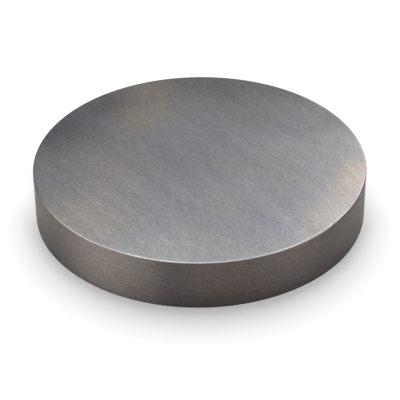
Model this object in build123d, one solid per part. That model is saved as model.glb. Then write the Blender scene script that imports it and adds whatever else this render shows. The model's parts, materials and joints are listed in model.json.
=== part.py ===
from build123d import *
import os

# Planar sputtering target: one flat round disc of solid metal, turned on its rim and ground on both faces.
# Origin at the centre of the back face, which rests on the cathode. +Z points out of the face that is sputtered.
# Every size is in millimetres.

# Driving dimensions
DIAMETER = 100.0  # across the turned rim, which locates the disc in the cathode's recess
THICKNESS = 16.0  # from the back face to the sputtered face
FACE_EDGE_BREAK = 0.2  # 45 degree edge break round the sputtered face, which shows as a thin bright line
BACK_EDGE_BREAK = 0.2  # 45 degree edge break round the back face, which lets it seat without a burr

# Sizes that follow
RIM_RADIUS = DIAMETER / 2
SPUTTERED_FACE_RADIUS = RIM_RADIUS - FACE_EDGE_BREAK
BACK_FACE_RADIUS = RIM_RADIUS - BACK_EDGE_BREAK
RIM_LENGTH = THICKNESS - FACE_EDGE_BREAK - BACK_EDGE_BREAK  # the straight part of the rim


def half_section():
    """Half of the disc's section in the XZ plane, from the axis out to the rim."""
    outline = Polyline(
        (0, 0),
        (BACK_FACE_RADIUS, 0),
        (RIM_RADIUS, BACK_EDGE_BREAK),
        (RIM_RADIUS, BACK_EDGE_BREAK + RIM_LENGTH),
        (SPUTTERED_FACE_RADIUS, THICKNESS),
        (0, THICKNESS),
        close=True,
    )
    return Plane.XZ * make_face(outline)


def target_disc():
    """The whole target, made by turning its half section about Z."""
    return revolve(half_section(), axis=Axis.Z)


NODES = {"target_disc": target_disc()}

os.makedirs("parts", exist_ok=True)
for name, solid in NODES.items():
    solid.label = name
    export_step(solid, f"parts/{name}.step")
    print(name, "volume", round(solid.volume, 1), "mm3")
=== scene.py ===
# %% [markdown]
# # A sputtering target, dressed for its picture
# A sputtering target is a slab of solid metal that a coating chamber wears away atom by atom. This one is
# a plain round disc. It was turned on a lathe, so its rim carries fine rings, and both of its faces were
# ground flat, so they carry fine marks that all run one way, called the lay. There is nothing else on it.
# All of its looks come from those marks, from the faint heat colours that metal picks up, and from what
# it reflects.
#
# This first cell loads the model that was made in CAD. It is a fixed frame: everything here is placed by
# its sizes, and nothing here moves it.

import json
import math

import bpy
from mathutils import Matrix, Vector


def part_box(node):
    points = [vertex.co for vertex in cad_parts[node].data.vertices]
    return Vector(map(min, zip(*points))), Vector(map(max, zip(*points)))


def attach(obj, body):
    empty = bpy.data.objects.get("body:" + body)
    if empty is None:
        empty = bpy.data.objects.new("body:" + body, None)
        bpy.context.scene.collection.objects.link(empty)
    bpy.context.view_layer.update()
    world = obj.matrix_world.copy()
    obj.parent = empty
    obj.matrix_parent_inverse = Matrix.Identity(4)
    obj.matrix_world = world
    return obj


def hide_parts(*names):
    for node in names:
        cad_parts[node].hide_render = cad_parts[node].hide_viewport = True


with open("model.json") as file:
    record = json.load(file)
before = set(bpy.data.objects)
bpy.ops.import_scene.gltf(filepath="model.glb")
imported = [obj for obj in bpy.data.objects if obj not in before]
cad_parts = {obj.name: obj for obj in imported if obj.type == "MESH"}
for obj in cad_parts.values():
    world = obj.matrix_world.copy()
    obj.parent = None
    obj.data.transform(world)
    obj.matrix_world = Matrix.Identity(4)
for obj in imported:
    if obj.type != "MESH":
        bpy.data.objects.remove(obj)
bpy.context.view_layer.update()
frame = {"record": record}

# %% [markdown]
# ## The sizes that everything follows
# The disc's box gives its radius and its thickness. The rim is a mount of the part, and the record says
# how long its straight stretch is, so what is left of the thickness is the edge break: the small slope
# that takes the sharpness off each edge. These sizes could be typed in, but working them out from the
# frame means that the picture follows the part when a size changes.

# %% Read the disc's sizes
MM = 0.001

lowest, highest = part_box("target_disc")
radius = (highest.x - lowest.x) / 2
thickness = highest.z - lowest.z
mounts = {mount["name"]: mount for mount in frame["record"]["mounts"]}
straight_rim = mounts["rim"]["dims"]["length_mm"] * MM
edge_break = (thickness - straight_rim) / 2
print("radius, thickness and edge break in mm", [round(s / MM, 3) for s in (radius, thickness, edge_break)])

# %% [markdown]
# ## A short way to write node trees
# Blender keeps materials and Geometry Nodes as trees of small boxes joined by wires. Building them in a
# script takes a lot of typing, so this helper adds a box, fills its inputs with numbers or with wires
# from other boxes, and hands back its output. The arithmetic boxes are the same in both kinds of tree, so
# one helper serves for both.

# %% Helper for node trees
class Bench:
    """A node tree to work on: each call adds one node and gives back what comes out of it."""

    def __init__(self, tree):
        self.tree = tree

    def add(self, kind, settings=None, inputs=None):
        node = self.tree.nodes.new(kind)
        for name, value in (settings or {}).items():
            setattr(node, name, value)
        for key, value in (inputs or {}).items():
            self.fill(node.inputs[key], value)
        return node

    def fill(self, socket, value):
        if isinstance(value, bpy.types.NodeSocket):
            self.tree.links.new(value, socket)
        else:
            socket.default_value = value

    def math(self, operation, *values):
        return self.add("ShaderNodeMath", {"operation": operation}, dict(enumerate(values))).outputs[0]

    def vector(self, operation, *values):
        node = self.add("ShaderNodeVectorMath", {"operation": operation}, dict(enumerate(values)))
        one_number = operation in ("LENGTH", "DOT_PRODUCT")
        return node.outputs["Value" if one_number else "Vector"]

    def scaled(self, vector, factor):
        node = self.add("ShaderNodeVectorMath", {"operation": "SCALE"}, {0: vector, "Scale": factor})
        return node.outputs["Vector"]

    def point(self, x, y, z):
        return self.add("ShaderNodeCombineXYZ", None, {0: x, 1: y, 2: z}).outputs[0]

    def parts(self, vector):
        return self.add("ShaderNodeSeparateXYZ", None, {0: vector}).outputs

    def noise(self, vector, scale, detail):
        """A soft noise, mostly between 0.3 and 0.7. Detail adds finer noise on top."""
        inputs = {"Vector": vector, "Scale": scale, "Detail": detail, "Roughness": 0.5}
        return self.add("ShaderNodeTexNoise", None, inputs).outputs[0]

    def ramp(self, value, start, end, low=0.0, high=1.0):
        """A number between start and end becomes one between low and high, with soft ends."""
        inputs = {"Value": value, "From Min": start, "From Max": end, "To Min": low, "To Max": high}
        return self.add("ShaderNodeMapRange", {"interpolation_type": "SMOOTHSTEP"}, inputs).outputs[0]

    def swing(self, noise, amount):
        """A noise turned into a brightness that swings by this much below and above 1."""
        return self.ramp(noise, 0.3, 0.7, 1 - amount, 1 + amount)

    def blend(self, share, first, second):
        """A colour that goes from the first to the second as the share goes from 0 to 1."""
        node = self.add("ShaderNodeMix", {"data_type": "RGBA"}, {0: share, 6: first, 7: second})
        return node.outputs[2]


def colour(red, green, blue):
    return (red, green, blue, 1.0)


print("operations of the helper", [name for name in vars(Bench) if not name.startswith("_")])

# %% [markdown]
# ## The corners of the half section
# The real disc was turned, so its shape follows one rule: half of its section, swept once round the axis.
# A cylinder with a Bevel modifier would come close, but Geometry Nodes can do just what the lathe did,
# with the sizes as named inputs. The first step lays out the corners of the half section. It has more
# corners than the outline needs: a support corner on each side of an edge break keeps the faces and the
# rim flat right up to it.

# %% Corners of the half section
SUPPORT_WIDTH = 0.6 * MM


def section_corners(bench, size):
    """The half section's corners from the middle of one face, round the rim, to the middle of the other.

    Each is a distance from the rim, which is zero there and negative inside, and a height with its sign
    turned, because Curve to Mesh lays the second measure downwards.
    """
    to_axis = bench.math("MULTIPLY", size["Radius"], -1)
    halfway = bench.math("MULTIPLY", size["Radius"], -0.5)
    edge_in = bench.math("MULTIPLY", size["Edge break"], -1)
    support_in = bench.math("SUBTRACT", edge_in, size["Support width"])
    support_up = bench.math("ADD", size["Edge break"], size["Support width"])
    heights = {
        "top": size["Thickness"],
        "top slope": bench.math("SUBTRACT", size["Thickness"], size["Edge break"]),
        "top support": bench.math("SUBTRACT", size["Thickness"], support_up),
        "back support": support_up,
        "back slope": size["Edge break"],
        "back": 0.0,
    }
    down = {name: bench.math("MULTIPLY", height, -1) for name, height in heights.items()}
    face = [to_axis, halfway, support_in, edge_in]
    corners = [(inwards, down["top"]) for inwards in face]
    corners += [(0.0, down[name]) for name in ("top slope", "top support", "back support", "back slope")]
    corners += [(inwards, down["back"]) for inwards in reversed(face)]
    return [bench.point(inwards, height, 0.0) for inwards, height in corners]


print("support corners stand", SUPPORT_WIDTH / MM, "mm from each edge break")

# %% [markdown]
# ## The half section as a curve
# No machined corner is perfectly sharp, and a slight rounding is what catches the light. The corners are
# strung on a line of mesh points, one index each, which becomes a curve, and Fillet Curve rounds each
# corner by a twentieth of a millimetre. On the flat stretches it has nothing to round.

# %% Half section
CORNER_ROUNDING = 0.05 * MM
ROUNDING_POINTS = 3


def half_section(bench, size):
    """A curve through the section's corners, each one rounded."""
    corners = section_corners(bench, size)
    beads = bench.add("GeometryNodeMeshLine", None, {"Count": len(corners)}).outputs[0]
    chooser = bench.add("GeometryNodeIndexSwitch", {"data_type": "VECTOR"})
    while len(chooser.index_switch_items) < len(corners):
        chooser.index_switch_items.new()
    bench.fill(chooser.inputs["Index"], bench.add("GeometryNodeInputIndex").outputs[0])
    for number, corner in enumerate(corners):
        bench.fill(chooser.inputs[number + 1], corner)
    placing = {"Geometry": beads, "Position": chooser.outputs[0]}
    placed = bench.add("GeometryNodeSetPosition", None, placing).outputs[0]
    line = bench.add("GeometryNodeMeshToCurve", None, {"Mesh": placed}).outputs[0]
    rounding = {
        "Curve": line,
        "Count": ROUNDING_POINTS,
        "Radius": size["Corner rounding"],
        "Limit Radius": True,
    }
    return bench.add("GeometryNodeFilletCurve", {"mode": "POLY"}, rounding).outputs[0]


print("each corner is rounded by", round(CORNER_ROUNDING / MM, 3), "mm")

# %% [markdown]
# ## Edges broken by hand
# One thing isn't perfectly round on a real disc: its edges were broken by hand, with a file or a stone.
# So the slope is a little wider in some places than in others, and it has a few nicks from handling. Both
# are made by moving the points of the slope towards or away from the sharp corner that was there before
# it, by a slow noise for the width and a quick one for the nicks. The slope's points are those that lie
# within 1.1 times the edge break of that corner. All of it stays within the turned size.

# %% Edges broken by hand
UNEVEN_SHARE = 0.06
UNEVEN_LENGTH = 22 * MM
NICK_SHARE = 0.30
NICK_LENGTH = 1.6 * MM
NICK_STARTS = 0.74
NICK_WHOLE = 0.84
EDGE_SEED = 3.0
SLOPE_REACH = 1.1
ONLY_XY = (1, 1, 0)


def hand_broken_edges(bench, solid, size):
    """Widens and narrows both edge breaks as a hand would, and cuts a few nicks into them."""
    place = bench.add("GeometryNodeInputPosition").outputs[0]
    outwards = bench.vector("NORMALIZE", bench.vector("MULTIPLY", place, ONLY_XY))
    rim_spot = bench.scaled(outwards, size["Radius"])
    half_thickness = bench.math("MULTIPLY", size["Thickness"], 0.5)
    upper = bench.math("GREATER_THAN", bench.parts(place)[2], half_thickness)
    edge_height = bench.math("MULTIPLY", upper, size["Thickness"])
    sharp_corner = bench.vector("ADD", rim_spot, bench.point(0.0, 0.0, edge_height))
    from_corner = bench.vector("SUBTRACT", place, sharp_corner)
    reach = bench.math("MULTIPLY", size["Edge break"], SLOPE_REACH)
    on_slope = bench.math("LESS_THAN", bench.vector("LENGTH", from_corner), reach)
    seeded = bench.vector("ADD", sharp_corner, bench.point(0.0, 0.0, size["Seed"]))
    slow = bench.noise(seeded, 1 / UNEVEN_LENGTH, detail=1.0)
    uneven = bench.math("MULTIPLY", bench.math("MULTIPLY_ADD", slow, 2.0, -1.0), size["Uneven share"])
    quick = bench.noise(seeded, 1 / NICK_LENGTH, detail=1.0)
    nick = bench.math("MULTIPLY", bench.ramp(quick, NICK_STARTS, NICK_WHOLE), size["Nick share"])
    shift = bench.scaled(from_corner, bench.math("ADD", uneven, nick))
    moved = {"Geometry": solid, "Selection": on_slope, "Offset": shift}
    return bench.add("GeometryNodeSetPosition", None, moved).outputs[0]


print("the edge breaks vary by", UNEVEN_SHARE, "of their width, and nicks take up to", NICK_SHARE)

# %% [markdown]
# ## The tree that turns the disc
# This is the lathe: a circle of the disc's radius carries the half section once round with Curve to Mesh.
# The sweep leaves a ring of points at each pole that differ only by rounding errors, so Merge by Distance
# welds them into one and closes the solid. Then each part gets its finish by the way it faces: straight
# up is the sputtered face, straight down the back, level is the rim, and what is left in between is the
# edge break.

# %% Tree of the disc
STEPS_AROUND = 1080
WELD_REACH = 0.002 * MM
FACES_STRAIGHT = 0.999
FACES_LEVEL = 0.02

DISC_INPUTS = [
    ("Radius", "NodeSocketFloat", radius),
    ("Thickness", "NodeSocketFloat", thickness),
    ("Edge break", "NodeSocketFloat", edge_break),
    ("Corner rounding", "NodeSocketFloat", CORNER_ROUNDING),
    ("Support width", "NodeSocketFloat", SUPPORT_WIDTH),
    ("Steps around", "NodeSocketInt", STEPS_AROUND),
    ("Uneven share", "NodeSocketFloat", UNEVEN_SHARE),
    ("Nick share", "NodeSocketFloat", NICK_SHARE),
    ("Seed", "NodeSocketFloat", EDGE_SEED),
]


def disc_tree(finishes):
    """The Geometry Nodes tree of the whole disc. finishes holds its four materials by name."""
    tree = bpy.data.node_groups.new("turned_disc", "GeometryNodeTree")
    tree.interface.new_socket("Geometry", in_out="OUTPUT", socket_type="NodeSocketGeometry")
    for name, kind, value in DISC_INPUTS:
        tree.interface.new_socket(name, in_out="INPUT", socket_type=kind).default_value = value
    bench = Bench(tree)
    size = bench.add("NodeGroupInput").outputs
    circle = {"Resolution": size["Steps around"], "Radius": size["Radius"]}
    path = bench.add("GeometryNodeCurvePrimitiveCircle", None, circle).outputs[0]
    sweep = {"Curve": path, "Profile Curve": half_section(bench, size)}
    swept = bench.add("GeometryNodeCurveToMesh", None, sweep).outputs[0]
    weld = {"Geometry": swept, "Distance": WELD_REACH}
    welded = bench.add("GeometryNodeMergeByDistance", None, weld).outputs[0]
    broken = hand_broken_edges(bench, welded, size)
    solid = bench.add("GeometryNodeRealizeInstances", None, {"Geometry": broken}).outputs[0]
    facing = bench.parts(bench.add("GeometryNodeInputNormal").outputs[0])[2]
    chosen_faces = {
        "edge": True,
        "rim": bench.math("LESS_THAN", bench.math("ABSOLUTE", facing), FACES_LEVEL),
        "face": bench.math("GREATER_THAN", facing, FACES_STRAIGHT),
        "back": bench.math("LESS_THAN", facing, -FACES_STRAIGHT),
    }
    for name, chosen in chosen_faces.items():
        finishing = {"Geometry": solid, "Selection": chosen, "Material": finishes[name]}
        solid = bench.add("GeometryNodeSetMaterial", None, finishing).outputs[0]
    bench.add("NodeGroupOutput", None, {"Geometry": solid})
    return tree


print("inputs of the tree", [name for name, _, _ in DISC_INPUTS])

# %% [markdown]
# ## A blank finish and soft spots of colour
# Every finish starts in the same way: a metallic Principled shader, and the place on the disc in Object
# coordinates, so that the pattern stays with the metal from every side. Stains and heat colours have no
# outline on real metal, and neither have the soft reflections, highlights and shade that some of the spots
# paint into the colour. They could be painted as an image, but a short list of round spots is easier to
# read and to change: each has a colour, a strength, a middle and a reach, and fades to nothing at its
# reach.
#
# Real metal is never of one hue either. So a faint cast, a little cooler here and a little warmer there,
# goes over the faces and the rim.

# %% Helpers for a metal finish
COOL_CAST = colour(0.98, 1.00, 1.024)
WARM_CAST = colour(1.02, 1.00, 0.976)
RELIEF_DEPTH = 0.02 * MM


def new_finish(name):
    """An empty metallic material, its bench, its shader and the place on the disc."""
    material = bpy.data.materials.new(name)
    material.use_nodes = True
    material.node_tree.nodes.clear()
    bench = Bench(material.node_tree)
    shader = bench.add("ShaderNodeBsdfPrincipled", None, {"Metallic": 1.0})
    bench.add("ShaderNodeOutputMaterial", None, {"Surface": shader.outputs[0]})
    place = bench.add("ShaderNodeTexCoord").outputs["Object"]
    return material, bench, shader, place


def spotted(bench, place, tint, spots):
    """The tint with soft spots of other colours laid over it."""
    for hue, strength, x, y, reach in spots:
        away = bench.vector("SUBTRACT", place, (x * MM, y * MM, 0.0))
        distance = bench.vector("LENGTH", bench.vector("MULTIPLY", away, ONLY_XY))
        share = bench.math("MULTIPLY", bench.ramp(distance, 0.0, reach * MM, 1.0, 0.0), strength)
        tint = bench.blend(share, tint, hue)
    return tint


def painted(bench, tint, cast_noise, brightness):
    """The tint with its faint cooler and warmer cast, made lighter and darker by the marks."""
    cast = bench.blend(bench.ramp(cast_noise, 0.3, 0.7), COOL_CAST, WARM_CAST)
    return bench.scaled(bench.vector("MULTIPLY", tint, cast), brightness)


def relief(bench, marks, strength):
    """The direction that a surface faces once its marks stand up a little from it."""
    bump = {"Strength": strength, "Distance": RELIEF_DEPTH, "Height": marks}
    return bench.add("ShaderNodeBump", None, bump).outputs[0]


print("marks stand up by at most", round(RELIEF_DEPTH / MM, 3), "mm")

# %% [markdown]
# ## How the marks run on a ground face
# A wide grinding belt or wheel leaves marks that all run one way. On this disc they aren't quite
# straight: they bend like the arcs of a very large wheel, whose centre is far outside the disc. So the
# finish measures each spot of the face from that far centre. The distance from it says which mark the
# spot is on, and the angle round it says how far along the mark.

# %% Coordinates along and across the lay
WHEEL_RADIUS = 375 * MM
WHEEL_BEARING = math.radians(218)

wheel_centre = Vector((math.cos(WHEEL_BEARING), math.sin(WHEEL_BEARING), 0)) * WHEEL_RADIUS
print("centre of the lay's arcs, in mm", [round(v / MM) for v in wheel_centre])


def lay_coordinates(bench, place):
    """Millimetres along the lay and across it, and the direction across it."""
    from_centre = bench.vector("SUBTRACT", place, tuple(wheel_centre))
    from_wheel = bench.vector("MULTIPLY", from_centre, ONLY_XY)
    # The view from the wheel's centre towards the disc counts as angle 0, so the jump of the angle, half a
    # turn away from it, never falls on the disc.
    ahead = bench.vector("DOT_PRODUCT", from_wheel, tuple(-wheel_centre.normalized()))
    sideways = Vector((wheel_centre.y, -wheel_centre.x, 0)).normalized()
    aside = bench.vector("DOT_PRODUCT", from_wheel, tuple(sideways))
    along = bench.math("MULTIPLY", bench.math("ARCTAN2", aside, ahead), WHEEL_RADIUS / MM)
    across = bench.math("MULTIPLY", bench.vector("LENGTH", from_wheel), 1 / MM)
    return along, across, bench.vector("NORMALIZE", from_wheel)

# %% [markdown]
# ## The marks of a ground face
# A noise that is stretched along the lay and squeezed across it turns into short, fine scratches. One
# size of scratch looks like a printed pattern, so the face has a family of them: ticks, dashes and
# streaks of different lengths, and very faint broad bands. Where the grinding went deeper, small pits
# stay dark, and where it tore the skin, flecks of bare metal show. A cast that follows the lay makes one
# scratch a little cooler and the next a little warmer.

# %% Marks of a ground face
GROUND_MARKS = {
    # name: length along the lay and width across it in millimetres, detail, seed
    "ticks": (0.9, 0.18, 1.0, 3.0),
    "dashes": (2.0, 0.12, 1.0, 0.0),
    "streaks": (5.0, 0.50, 1.0, 7.0),
    "bands": (34.0, 5.0, 1.0, 13.0),
    "flecks": (1.8, 0.15, 1.0, 19.0),
    "pits": (1.4, 0.18, 1.0, 23.0),
    "cast": (3.0, 0.45, 2.0, 29.0),
}


def ground_marks(bench, along, across, seed):
    """The noise of each kind of mark, from 0 to 1."""
    noises = {}
    for name, (length, width, detail, own_seed) in GROUND_MARKS.items():
        down_the_lay = bench.math("DIVIDE", along, length)
        over_the_lay = bench.math("DIVIDE", across, width)
        spot = bench.point(down_the_lay, over_the_lay, seed + own_seed)
        noises[name] = bench.noise(spot, 1.0, detail=detail)
    return noises


print("kinds of marks on a ground face", list(GROUND_MARKS))

# %% [markdown]
# ## Heat colours
# This metal took on faint colours as it was ground and handled: straw and tan where it ran warm,
# blue-grey and violet-grey elsewhere. A plain base colour would look like plastic, so two slow noises,
# tens of millimetres wide, let it wander between steel, blue-grey and straw. The second is read a shift
# away from the first, so that their patches don't match. Each noise has a range: below it there is
# nothing of its colour, and above it there is all of it.

# %% Heat colours
STEEL = colour(0.258, 0.264, 0.281)
STRAW = colour(0.300, 0.268, 0.228)
BLUE_GREY = colour(0.236, 0.248, 0.278)
WARM_PATCH = 34 * MM
COOL_PATCH = 40 * MM
WARM_RANGE = (0.42, 0.66)
COOL_RANGE = (0.40, 0.68)
WARM_SHARE = 0.3
COOL_SHARE = 0.6
COOL_SHIFT = (0.2, 0.0, 0.0)


def heat_colours(bench, place):
    """The slow change of hue over a ground face."""
    warm = bench.ramp(bench.noise(place, 1 / WARM_PATCH, detail=2.0), *WARM_RANGE)
    cool_place = bench.vector("ADD", place, COOL_SHIFT)
    cool = bench.ramp(bench.noise(cool_place, 1 / COOL_PATCH, detail=2.0), *COOL_RANGE)
    tint = bench.blend(bench.math("MULTIPLY", cool, COOL_SHARE), STEEL, BLUE_GREY)
    return bench.blend(bench.math("MULTIPLY", warm, WARM_SHARE), tint, STRAW)


print("patches of", round(WARM_PATCH / MM), "and", round(COOL_PATCH / MM), "mm")

# %% [markdown]
# ## The ground finish
# The marks do three things at once. They make the metal lighter and darker, rougher and smoother, and
# they stand up a little as relief. The shader's anisotropy then spreads each reflection across the marks,
# as fine grooves do, so the tangent that it gets is the direction across the lay. A fine grain with no
# direction goes over them, because real marks cross and break up and never look ruled.

# %% Ground finish
DASH_SHARE = 0.60
STREAK_SHARE = 0.40
MARK_SWING = 0.21
BAND_SWING = 0.05
TICK_SWING = 0.13
GRAIN_SWING = 0.06
GRAIN_SIZE = 0.37 * MM
BARE_FLECK = colour(0.46, 0.42, 0.36)
FLECK_RANGE = (0.61, 0.74)
FLECK_SHARE = 0.75
DARK_PIT = colour(0.13, 0.13, 0.14)
PIT_RANGE = (0.63, 0.77)
PIT_SHARE = 0.45
POLISH_RANGE = (0.25, 0.75)
FACE_ROUGHNESS = (0.40, 0.33)
FACE_RELIEF = 0.25
FACE_ANISOTROPY = 0.75


def ground_finish(name, seed, spots):
    """The finish of a ground face, with its marks along the lay and its soft spots."""
    material, bench, shader, place = new_finish(name)
    along, across, over_marks = lay_coordinates(bench, place)
    noises = ground_marks(bench, along, across, seed)
    streaks = bench.math("MULTIPLY", noises["streaks"], STREAK_SHARE)
    marks = bench.math("MULTIPLY_ADD", noises["dashes"], DASH_SHARE, streaks)
    seeded = bench.vector("ADD", place, (0.0, 0.0, seed * MM))
    grain = bench.noise(seeded, 1 / GRAIN_SIZE, detail=1.0)
    brightness = bench.swing(marks, MARK_SWING)
    fainter = [(noises["bands"], BAND_SWING), (noises["ticks"], TICK_SWING), (grain, GRAIN_SWING)]
    for noise, amount in fainter:
        brightness = bench.math("MULTIPLY", brightness, bench.swing(noise, amount))
    tint = spotted(bench, place, heat_colours(bench, seeded), spots)
    flecks = bench.math("MULTIPLY", bench.ramp(noises["flecks"], *FLECK_RANGE), FLECK_SHARE)
    tint = bench.blend(flecks, tint, BARE_FLECK)
    pits = bench.math("MULTIPLY", bench.ramp(noises["pits"], *PIT_RANGE), PIT_SHARE)
    tint = bench.blend(pits, tint, DARK_PIT)
    bench.fill(shader.inputs["Base Color"], painted(bench, tint, noises["cast"], brightness))
    bench.fill(shader.inputs["Roughness"], bench.ramp(marks, *POLISH_RANGE, *FACE_ROUGHNESS))
    bench.fill(shader.inputs["Normal"], relief(bench, marks, FACE_RELIEF))
    bench.fill(shader.inputs["Anisotropic"], FACE_ANISOTROPY)
    bench.fill(shader.inputs["Tangent"], over_marks)
    print("finish", name, "with", len(bench.tree.nodes), "nodes")
    return material

# %% [markdown]
# ## The two ground faces
# The sputtered face is dull and violet at its far left, straw-coloured in patches, pale along the near
# left, blue-grey along the near right and rosy at its right end. The spots below go from the far edge
# over the left and the middle to the near edge and the right. The back lies on the floor and can't be
# seen, so it has the same finish, with marks of its own and no spots.

# %% Finish both ground faces
# Colours of painted shade and painted reflection, used by the spots of the sputtered face below.
PAINTED_VIOLET_SHADE = colour(0.138, 0.134, 0.150)
PAINTED_GREY_SHADE = colour(0.185, 0.184, 0.188)
PAINTED_STRAW_SHEEN = colour(0.345, 0.322, 0.294)
PAINTED_STEEL_SHEEN = colour(0.318, 0.316, 0.314)
PAINTED_BLUE_SHEEN = colour(0.284, 0.300, 0.336)
PAINTED_ROSE_REFLECTION = colour(0.345, 0.300, 0.268)
FACE_SEED = 2.0
BACK_SEED = 31.0

# Partly heat colour and partly painted light: the dull and violet spots at the far side are painted shade,
# and the pale and rosy spots are a painted sheen and reflection.
FACE_TINTS_AND_REFLECTIONS = [
    # colour, strength, then the spot's X, Y and reach in millimetres
    (PAINTED_VIOLET_SHADE, 0.90, -45.0, 21.0, 26.0),
    (PAINTED_VIOLET_SHADE, 0.80, -28.0, 35.0, 15.0),
    (PAINTED_GREY_SHADE, 0.60, -4.0, 46.0, 14.0),
    (PAINTED_GREY_SHADE, 0.85, 9.0, 45.0, 20.0),
    (PAINTED_GREY_SHADE, 0.55, 27.0, 41.0, 16.0),
    (PAINTED_GREY_SHADE, 0.60, 43.0, 23.0, 13.0),
    (STRAW, 0.90, -17.0, 40.0, 14.0),
    (STRAW, 0.85, -18.0, 25.0, 15.0),
    (PAINTED_STRAW_SHEEN, 0.55, -15.0, 26.0, 11.0),
    (PAINTED_STRAW_SHEEN, 0.28, -24.0, -10.0, 14.0),
    (STRAW, 0.45, -30.0, 0.0, 22.0),
    (PAINTED_BLUE_SHEEN, 0.45, -3.0, 21.0, 16.0),
    (BLUE_GREY, 0.50, 8.0, 25.0, 14.0),
    (PAINTED_BLUE_SHEEN, 0.50, 17.0, 11.0, 17.0),
    (PAINTED_STEEL_SHEEN, 0.50, 21.0, 7.0, 15.0),
    (PAINTED_BLUE_SHEEN, 0.55, 14.0, -13.0, 13.0),
    (BLUE_GREY, 0.50, -3.0, -6.0, 17.0),
    (PAINTED_GREY_SHADE, 0.18, -9.0, 2.0, 16.0),
    (PAINTED_STRAW_SHEEN, 0.75, -34.0, -28.0, 23.0),
    (PAINTED_STEEL_SHEEN, 0.70, -10.0, -45.0, 22.0),
    (BLUE_GREY, 0.85, 17.0, -33.0, 18.0),
    (BLUE_GREY, 0.80, 29.0, -19.0, 14.0),
    (PAINTED_STEEL_SHEEN, 0.45, 37.0, 9.0, 13.0),
    (PAINTED_ROSE_REFLECTION, 1.00, 46.5, -3.5, 7.5),
    (PAINTED_ROSE_REFLECTION, 1.00, 45.0, -11.0, 7.5),
    (PAINTED_ROSE_REFLECTION, 0.70, 42.0, -18.5, 8.0),
    (PAINTED_STRAW_SHEEN, 0.60, 37.0, -29.0, 12.0),
]

face_finish = ground_finish("ground_face", FACE_SEED, FACE_TINTS_AND_REFLECTIONS)
back_finish = ground_finish("ground_back", BACK_SEED, [])

# %% [markdown]
# ## The colours of the turned rim
# The rim is darker and browner than the faces. It isn't alike from top to bottom either: its lower half
# is painted duller and cooler, as painted shade that stands in for the shadowed floor it reflects, apart
# from a painted bright reflection at the near left. On the upper half, pale spots along the near side are
# a painted reflection and dark ones painted shade. A gradient of two colours would be too even, so the
# upper and the lower half each have a colour and soft spots of their own, and the height on the rim
# blends the second set into the first.

# %% Colours of the rim
RIM_BROWN = colour(0.140, 0.114, 0.103)
RIM_GREY = colour(0.124, 0.112, 0.106)
RIM_PALE = colour(0.305, 0.268, 0.242)
RIM_PAINTED_SHADE = colour(0.081, 0.082, 0.090)
RIM_BLUE = colour(0.120, 0.120, 0.132)
RIM_LOW_SHEEN = colour(0.40, 0.37, 0.37)
RIM_LOW_SHADE = colour(0.108, 0.105, 0.112)
BLOTCH_SIZE = 9 * MM
BLOTCH_RANGE = (0.35, 0.65)
LOW_RIM_HEIGHT = 8 * MM
LOW_RIM_SHADE_SHARE = 0.45

# Partly tint and partly painted light: the pale spots along the near side, strongest at the near left, are
# a painted reflection, and the dark ones there are painted shade.
RIM_TINTS_AND_SHEEN = [
    # colour, strength, then the spot's X, Y and reach in millimetres, on the rim
    (RIM_PALE, 0.10, -46.0, -18.0, 22.0),
    (RIM_PALE, 0.95, -28.0, -41.5, 23.0),
    (RIM_PALE, 0.25, -15.0, -47.7, 12.0),
    (RIM_PAINTED_SHADE, 0.40, -9.0, -49.2, 8.0),
    (RIM_BROWN, 0.90, 1.0, -50.0, 10.0),
    (RIM_PALE, 0.16, 27.0, -42.0, 17.0),
    (RIM_BROWN, 0.80, 40.0, -30.0, 18.0),
    (RIM_PAINTED_SHADE, 0.22, 38.0, -32.5, 9.0),
    (RIM_PALE, 0.60, 30.0, 40.0, 24.0),
    (RIM_PALE, 0.40, -30.0, 40.0, 18.0),
]
# Painted shade for the lower half of the rim, with a painted bright reflection at the near left.
LOW_RIM_SHADE_AND_SHEEN = [
    # the same for the lower half of the rim
    (RIM_LOW_SHEEN, 0.80, -28.0, -41.5, 25.0),
    (RIM_BLUE, 0.90, -47.0, -16.0, 15.0),
    (RIM_PAINTED_SHADE, 0.60, 2.0, -50.0, 10.0),
    (RIM_PAINTED_SHADE, 0.50, 41.0, -29.0, 15.0),
]


def rim_colours(bench, place, height):
    """The rim's browns and greys with soft spots, other above than below, and painted shade low down."""
    blotches = bench.ramp(bench.noise(place, 1 / BLOTCH_SIZE, detail=3.0), *BLOTCH_RANGE)
    upper = spotted(bench, place, bench.blend(blotches, RIM_GREY, RIM_BROWN), RIM_TINTS_AND_SHEEN)
    # Painted shade: the lower colours stand in for the shadowed floor that the rim reflects, and the height
    # blends them in towards the floor.
    lower = spotted(bench, place, RIM_LOW_SHADE, LOW_RIM_SHADE_AND_SHEEN)
    low_shade_share = bench.ramp(height, 0.0, LOW_RIM_HEIGHT, LOW_RIM_SHADE_SHARE, 0.0)
    return bench.blend(low_shade_share, upper, lower)


print("soft spots on the rim", len(RIM_TINTS_AND_SHEEN), "and lower down", len(LOW_RIM_SHADE_AND_SHEEN))

# %% [markdown]
# ## The turned rim
# A lathe tool leaves fine rings round the rim, fainter than the grinding marks, and this rim was then
# gone over with an abrasive, so its rings are broken into short dashes. The rings could be measured by the
# angle round the axis, but that angle jumps somewhere and leaves a seam. A noise that is slow in X and Y
# and quick in Z runs round a cylinder with none. The marks change the brightness, the roughness and the
# relief, as on the faces, but here the grooves run level, so the tangent points straight up. A narrow
# foot is painted darker, as painted shade where the rim meets the floor.

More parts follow.
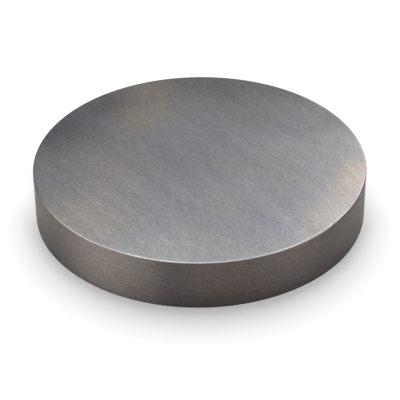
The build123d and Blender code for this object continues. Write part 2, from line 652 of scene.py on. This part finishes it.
# %% Turned rim
RING_MARKS = {
    # name: length round the disc and width up the rim in millimetres, seed
    "dashes": (1.8, 0.22, 5.0),
    "rings": (12.0, 0.5, 11.0),
}
RIM_DASH_SHARE = 0.7
RIM_RING_SHARE = 0.3
RIM_MARK_RANGE = (0.28, 0.72)
RIM_SWING = 0.12
RIM_GRAIN_SIZE = 0.40 * MM
RIM_CAST_SIZE = 1.4 * MM
FOOT_HEIGHT = 2.0 * MM
PAINTED_FOOT_SHADE = 0.82
RIM_ROUGHNESS = (0.50, 0.40)
RIM_RELIEF = 0.3
RIM_ANISOTROPY = 0.5
UP = (0.0, 0.0, 1.0)


def ring_marks(bench, place, name):
    """Noise from 0 to 1 in streaks round the disc."""
    length, width, seed = RING_MARKS[name]
    stretch = (1 / (length * MM), 1 / (length * MM), 1 / (width * MM))
    spot = bench.vector("ADD", bench.vector("MULTIPLY", place, stretch), (0.0, 0.0, seed))
    return bench.noise(spot, 1.0, detail=1.0)


def turned_finish(name):
    """The finish of the rim, with its marks running round the disc."""
    material, bench, shader, place = new_finish(name)
    height = bench.parts(place)[2]
    dashes = bench.math("MULTIPLY", ring_marks(bench, place, "dashes"), RIM_DASH_SHARE)
    marks = bench.math("MULTIPLY_ADD", ring_marks(bench, place, "rings"), RIM_RING_SHARE, dashes)
    mark_shade = bench.ramp(marks, *RIM_MARK_RANGE, 1 - RIM_SWING, 1 + RIM_SWING)
    grain_shade = bench.swing(bench.noise(place, 1 / RIM_GRAIN_SIZE, detail=1.0), RIM_SWING)
    # Painted shade: the lowest two millimetres of the rim are darkened where it meets the floor.
    painted_foot_shade = bench.ramp(height, 0.0, FOOT_HEIGHT, PAINTED_FOOT_SHADE, 1.0)
    brightness = bench.math("MULTIPLY", bench.math("MULTIPLY", mark_shade, grain_shade), painted_foot_shade)
    cast_noise = bench.noise(place, 1 / RIM_CAST_SIZE, detail=2.0)
    paint = painted(bench, rim_colours(bench, place, height), cast_noise, brightness)
    bench.fill(shader.inputs["Base Color"], paint)
    bench.fill(shader.inputs["Roughness"], bench.ramp(marks, *POLISH_RANGE, *RIM_ROUGHNESS))
    bench.fill(shader.inputs["Normal"], relief(bench, marks, RIM_RELIEF))
    bench.fill(shader.inputs["Anisotropic"], RIM_ANISOTROPY)
    bench.fill(shader.inputs["Tangent"], UP)
    print("finish", name, "with", len(bench.tree.nodes), "nodes")
    return material


rim_finish = turned_finish("turned_rim")

# %% [markdown]
# ## The edge break
# The thin bright line round the face is the edge break, a slope a fifth of a millimetre wide that faces
# the light as neither the face nor the rim does. Its colour is a painted highlight along the near side and
# painted shade round the far side. It is too narrow to show any marks. So one noise changes the painted
# highlight between tan and bright, soft spots follow, and the distance from the highlighted stretch turns
# it to painted shade.

# %% Edge break
# Painted highlight and painted shade: these colours stand in for the light that the edge break catches
# along the near side and misses round the far side.
EDGE_PAINTED_HIGHLIGHT = colour(0.77, 0.76, 0.765)
EDGE_TAN = colour(0.62, 0.56, 0.51)
EDGE_PAINTED_GLINT = colour(0.97, 0.95, 0.935)
EDGE_LILAC = colour(0.56, 0.555, 0.60)
EDGE_PAINTED_SHADE = colour(0.17, 0.145, 0.13)
HIGHLIGHT_MOTTLE_SIZE = 5 * MM
HIGHLIGHT_MOTTLE_RANGE = (0.34, 0.52)
HIGHLIGHT_MIDDLE = (-8 * MM, -50 * MM, 8 * MM)
HIGHLIGHT_REACH = 43 * MM
DARK_FROM = 55 * MM
EDGE_ROUGHNESS = (0.42, 0.32)

# Painted highlight: spots that make the bright line brighter, tan or lilac along the near side.
EDGE_HIGHLIGHT_SPOTS = [
    # colour, strength, then the spot's X, Y and reach in millimetres, on the edge break
    (EDGE_PAINTED_GLINT, 0.90, 24.0, -44.0, 18.0),
    (EDGE_PAINTED_GLINT, 0.90, 38.0, -32.0, 16.0),
    (EDGE_LILAC, 0.80, 0.0, -50.0, 12.0),
    (EDGE_TAN, 0.50, -26.0, -43.0, 8.0),
    (EDGE_PAINTED_GLINT, 0.70, -36.0, -35.0, 13.0),
]


def broken_edge_finish(name):
    """The finish of the edge break, with a painted highlight along the near side and painted shade
    elsewhere.
    """
    material, bench, shader, place = new_finish(name)
    highlight_mottle = bench.ramp(bench.noise(place, 1 / HIGHLIGHT_MOTTLE_SIZE, detail=3.0), *HIGHLIGHT_MOTTLE_RANGE)
    # Painted highlight: the bright colours along the near side.
    tint = spotted(bench, place, bench.blend(highlight_mottle, EDGE_TAN, EDGE_PAINTED_HIGHLIGHT), EDGE_HIGHLIGHT_SPOTS)
    from_highlight = bench.vector("LENGTH", bench.vector("SUBTRACT", place, HIGHLIGHT_MIDDLE))
    # Painted shade: away from the highlighted stretch the edge break turns dark.
    tint = bench.blend(bench.ramp(from_highlight, HIGHLIGHT_REACH, DARK_FROM), tint, EDGE_PAINTED_SHADE)
    bench.fill(shader.inputs["Base Color"], tint)
    bench.fill(shader.inputs["Roughness"], bench.ramp(highlight_mottle, 0.0, 1.0, *EDGE_ROUGHNESS))
    print("finish", name, "with", len(bench.tree.nodes), "nodes")
    return material


edge_finish = broken_edge_finish("broken_edge")

# %% [markdown]
# ## Turn the disc
# The tree runs once on an empty object, its result becomes a plain mesh, and the empty object goes. A
# modifier left in place would look the same, but the disc is handed over as a mesh. Weighted Normal lets
# the largest face at each corner decide which way the corner faces, so the flat faces look flat right up
# to their edges.

# %% Turn the disc
LARGEST_FACE_DECIDES = 100


def inputs_by_name(tree):
    """Each input of a node tree and the identifier that a modifier knows it by."""
    return {item.name: item.identifier for item in tree.interface.items_tree if item.in_out == "INPUT"}


def turn_disc():
    """The disc as a mesh object, with its four finishes."""
    finishes = {"face": face_finish, "rim": rim_finish, "edge": edge_finish, "back": back_finish}
    tree = disc_tree(finishes)
    holder = bpy.data.objects.new("turning", bpy.data.meshes.new("turning"))
    bpy.context.scene.collection.objects.link(holder)
    turning = holder.modifiers.new("turning", "NODES")
    turning.node_group = tree
    identifiers = inputs_by_name(tree)
    for name, _, value in DISC_INPUTS:
        turning[identifiers[name]] = value
    flat_faces = holder.modifiers.new("flat faces", "WEIGHTED_NORMAL")
    flat_faces.weight = LARGEST_FACE_DECIDES
    evaluated = holder.evaluated_get(bpy.context.evaluated_depsgraph_get())
    mesh = bpy.data.meshes.new_from_object(evaluated)
    bpy.data.objects.remove(holder)
    mesh.name = "target"
    disc = bpy.data.objects.new("target", mesh)
    bpy.context.scene.collection.objects.link(disc)
    return disc


target = turn_disc()
print("target", len(target.data.vertices), "corners,", len(target.data.polygons), "faces")
print("finishes", [material.name for material in target.data.materials])
print("size in mm", [round(side / MM, 4) for side in target.dimensions])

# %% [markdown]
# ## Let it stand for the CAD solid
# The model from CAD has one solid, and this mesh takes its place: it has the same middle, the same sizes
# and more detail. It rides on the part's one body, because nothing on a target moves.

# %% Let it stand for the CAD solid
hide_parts("target_disc")
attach(target, "root")
print(target.name, "stands for target_disc")

# %% [markdown]
# ## The white of the floor
# The photo shows a white sweep with only a soft shadow close round the disc. A plain white floor does it:
# the light that the disc keeps from it is the shadow. A little extra white that only the camera sees
# keeps the rest of the floor white. It is weak at the foot of the disc, where the shadow should stay, and
# rises within five millimetres beyond the rim. It is strongest in a band on the left and the right of the
# disc, where the floor is bright right up to the metal.

# %% White of the floor
FLOOR_WHITE = colour(0.97, 0.97, 0.97)
LIFT_AT_RIM = 0.045
LIFT_BEYOND = 0.15
LIFT_REACH = 5 * MM
LIFT_BESIDE = 0.20
BESIDE_MIDDLE_Y = 6 * MM
BESIDE_WHOLE = 2 * MM
BESIDE_REACH = 24 * MM


def extra_white(bench):
    """How much white the floor adds in the camera's view, from place to place."""
    place = bench.add("ShaderNodeTexCoord").outputs["Object"]
    from_axis = bench.vector("LENGTH", place)
    around = bench.ramp(from_axis, radius, radius + LIFT_REACH, LIFT_AT_RIM, LIFT_BEYOND)
    from_middle = bench.math("ABSOLUTE", bench.math("SUBTRACT", bench.parts(place)[1], BESIDE_MIDDLE_Y))
    beside = bench.ramp(from_middle, BESIDE_WHOLE, BESIDE_REACH, LIFT_BESIDE, LIFT_AT_RIM)
    seen = bench.add("ShaderNodeLightPath").outputs["Is Camera Ray"]
    return bench.math("MULTIPLY", seen, bench.math("MAXIMUM", around, beside))


def white_sweep():
    """The floor's material: white paper and the extra white."""
    material = bpy.data.materials.new("white_sweep")
    material.use_nodes = True
    material.node_tree.nodes.clear()
    bench = Bench(material.node_tree)
    paper = bench.add("ShaderNodeBsdfDiffuse", None, {"Color": FLOOR_WHITE}).outputs[0]
    lift = bench.add("ShaderNodeEmission", None, {"Strength": extra_white(bench)}).outputs[0]
    both = bench.add("ShaderNodeAddShader", None, {0: paper, 1: lift}).outputs[0]
    bench.add("ShaderNodeOutputMaterial", None, {"Surface": both})
    return material


paper_white = white_sweep()
print("finish", paper_white.name, "with", len(paper_white.node_tree.nodes), "nodes")

# %% [markdown]
# ## Lay the floor
# The floor belongs to the picture and not to the part. One large square is enough. It lies at the height
# of the back face, so the disc rests on it, and reaches far past the picture.

# %% Lay the floor
FLOOR_HALF = 3.0


def make_floor():
    signs = [(-1, -1), (1, -1), (1, 1), (-1, 1)]
    mesh = bpy.data.meshes.new("floor")
    mesh.from_pydata([(x * FLOOR_HALF, y * FLOOR_HALF, 0.0) for x, y in signs], [], [(0, 1, 2, 3)])
    mesh.materials.append(paper_white)
    floor = bpy.data.objects.new("floor", mesh)
    bpy.context.scene.collection.objects.link(floor)


make_floor()
print("floor", 2 * FLOOR_HALF, "m across")

# %% [markdown]
# ## Soft boxes
# Metal shows what surrounds it, so most of the light here is a small studio of things to reflect. Soft
# boxes close to the disc make its bright parts. They stand near, because only a near box can look
# different from one end of a flat face to the other. They light nothing but metal, so the shadow on the
# floor stays soft and even, and none of them shows in the picture itself. A level of 1 is as bright as
# white paper.

# %% Soft boxes
SOFT_BOXES = [
    # name, centre and aim in metres, width, height, level, colour
    ("back_window", (0.17, 0.20, 0.18), (0.04, 0.0, 0.016), 0.16, 0.16, 4.55, (1.0, 1.0, 1.0)),
    ("high_back", (-0.10, 0.22, 0.36), (0.0, 0.0, 0.016), 0.20, 0.16, 2.9, (1.0, 1.0, 1.0)),
    ("right_back", (0.10, 0.19, 0.14), (0.035, -0.01, 0.016), 0.10, 0.10, 1.15, (1.0, 0.97, 0.94)),
    ("near_back", (0.12, 0.14, 0.10), (0.035, -0.01, 0.016), 0.08, 0.08, 0.85, (1.0, 1.0, 1.0)),
    ("overhead", (0.0, 0.06, 0.42), (0.0, 0.0, 0.0), 0.40, 0.30, 1.2, (1.0, 1.0, 1.0)),
    ("near_front", (-0.02, -0.10, 0.22), (0.0, -0.03, 0.016), 0.14, 0.08, 2.3, (1.0, 1.0, 1.0)),
    ("near_left", (-0.09, -0.10, 0.20), (-0.02, -0.03, 0.016), 0.08, 0.08, 2.7, (1.0, 1.0, 1.0)),
    ("high_front", (0.0, -0.22, 0.38), (0.0, 0.0, 0.016), 0.16, 0.20, 0.55, (1.0, 1.0, 1.0)),
    ("high_right", (0.24, -0.10, 0.30), (0.02, -0.03, 0.016), 0.18, 0.18, 0.65, (1.0, 1.0, 1.0)),
    ("left_top", (-0.32, -0.06, 0.24), (0.0, 0.0, 0.016), 0.24, 0.20, 0.27, (1.0, 0.98, 0.96)),
]


def soft_box(name, centre, aim, width, height, level, tint):
    """A glowing rectangle that faces its aim. Its power gives every part of it the level asked for."""
    lamp = bpy.data.lights.new(name, "AREA")
    lamp.shape = "RECTANGLE"
    lamp.size = width
    lamp.size_y = height
    lamp.energy = level * math.pi * width * height
    lamp.color = tint
    box = bpy.data.objects.new(name, lamp)
    box.location = centre
    box.rotation_euler = (Vector(aim) - Vector(centre)).to_track_quat("-Z", "Y").to_euler()
    box.visible_camera = False
    box.visible_diffuse = False
    bpy.context.scene.collection.objects.link(box)


for box in SOFT_BOXES:
    soft_box(*box)
print("soft boxes", [box[0] for box in SOFT_BOXES])

# %% [markdown]
# ## Room and back panel
# The floor needs light of its own. Most of it comes evenly from a white room, and the rest from a broad
# panel behind the disc, which draws the shadow a little forwards. The panel is a Sun lamp sixty degrees
# wide: one that far away lights the whole floor alike. Together they light the floor at a level of about
# 1, so white paper comes out white. The metal sees the room dimmer, as it would with dark cards held
# round it, or else it would turn pale, and it doesn't see the panel at all. The camera sees a room of
# plain white.

# %% Room and back panel
ROOM_LEVEL = 0.69
ROOM_IN_METAL = 0.32
ROOM_IN_VIEW = 1.0
WHITE = colour(1.0, 1.0, 1.0)
PANEL_SHARE = 0.33
PANEL_HEIGHT_ANGLE = math.radians(50)
PANEL_SPREAD = math.radians(60)


def make_room():
    """White walls all round, with a level of their own for the metal and for the camera."""
    world = bpy.data.worlds.new("room")
    world.use_nodes = True
    world.node_tree.nodes.clear()
    bench = Bench(world.node_tree)
    light_path = bench.add("ShaderNodeLightPath").outputs
    level = bench.ramp(light_path["Is Glossy Ray"], 0.0, 1.0, ROOM_LEVEL, ROOM_IN_METAL)
    level = bench.ramp(light_path["Is Camera Ray"], 0.0, 1.0, level, ROOM_IN_VIEW)
    walls = bench.add("ShaderNodeBackground", None, {"Color": WHITE, "Strength": level}).outputs[0]
    bench.add("ShaderNodeOutputWorld", None, {"Surface": walls})
    bpy.context.scene.world = world


def back_panel():
    """A broad panel far behind the disc, which lights the floor alone."""
    lamp = bpy.data.lights.new("back_panel", "SUN")
    lamp.energy = PANEL_SHARE * math.pi / math.sin(PANEL_HEIGHT_ANGLE)
    lamp.angle = PANEL_SPREAD
    panel = bpy.data.objects.new("back_panel", lamp)
    towards = Vector((0.0, -math.cos(PANEL_HEIGHT_ANGLE), -math.sin(PANEL_HEIGHT_ANGLE)))
    panel.rotation_euler = towards.to_track_quat("-Z", "Y").to_euler()
    panel.visible_glossy = False
    bpy.context.scene.collection.objects.link(panel)


back_panel()
make_room()
print("light on the floor", round(ROOM_LEVEL + PANEL_SHARE, 2))

# %% [markdown]
# ## Camera
# The camera was found from the outline of the disc in the photo: the two ellipses of its edges fix the
# height, the distance and the lens together. It stands half a metre away with a long lens, looks down by
# about 35 degrees and leans by half a degree. The photo's colours are plain screen colours, so the
# picture is made with the Standard view and not with one that softens the whites.

# %% Camera
CAMERA_DISTANCE = 491.6 * MM
CAMERA_HEIGHT_ANGLE = math.radians(35.32)
CAMERA_AIM = Vector((0.0, 0.0, 2 * MM))
CAMERA_ROLL = math.radians(0.56)
LENS = 144.35
SENSOR = 36.0


def make_camera():
    """The camera, placed by its distance, its height angle and its lean."""
    camera = bpy.data.cameras.new("camera")
    camera.lens = LENS
    camera.sensor_width = SENSOR
    camera.dof.use_dof = False
    holder = bpy.data.objects.new("camera", camera)
    away = Vector((0.0, -math.cos(CAMERA_HEIGHT_ANGLE), math.sin(CAMERA_HEIGHT_ANGLE)))
    place = away * CAMERA_DISTANCE
    looking = (CAMERA_AIM - place).to_track_quat("-Z", "Y").to_matrix()
    leaning = looking @ Matrix.Rotation(-CAMERA_ROLL, 3, "Z")
    holder.matrix_world = Matrix.Translation(place) @ leaning.to_4x4()
    bpy.context.scene.collection.objects.link(holder)
    bpy.context.scene.camera = holder
    return holder


camera = make_camera()
bpy.context.scene.view_settings.view_transform = "Standard"
print("camera at", [round(v, 4) for v in camera.location])

# %% [markdown]
# ## The box of the dressed disc
# The dressed disc has to fill the same box as the CAD solid, or it would no longer fit its cathode.
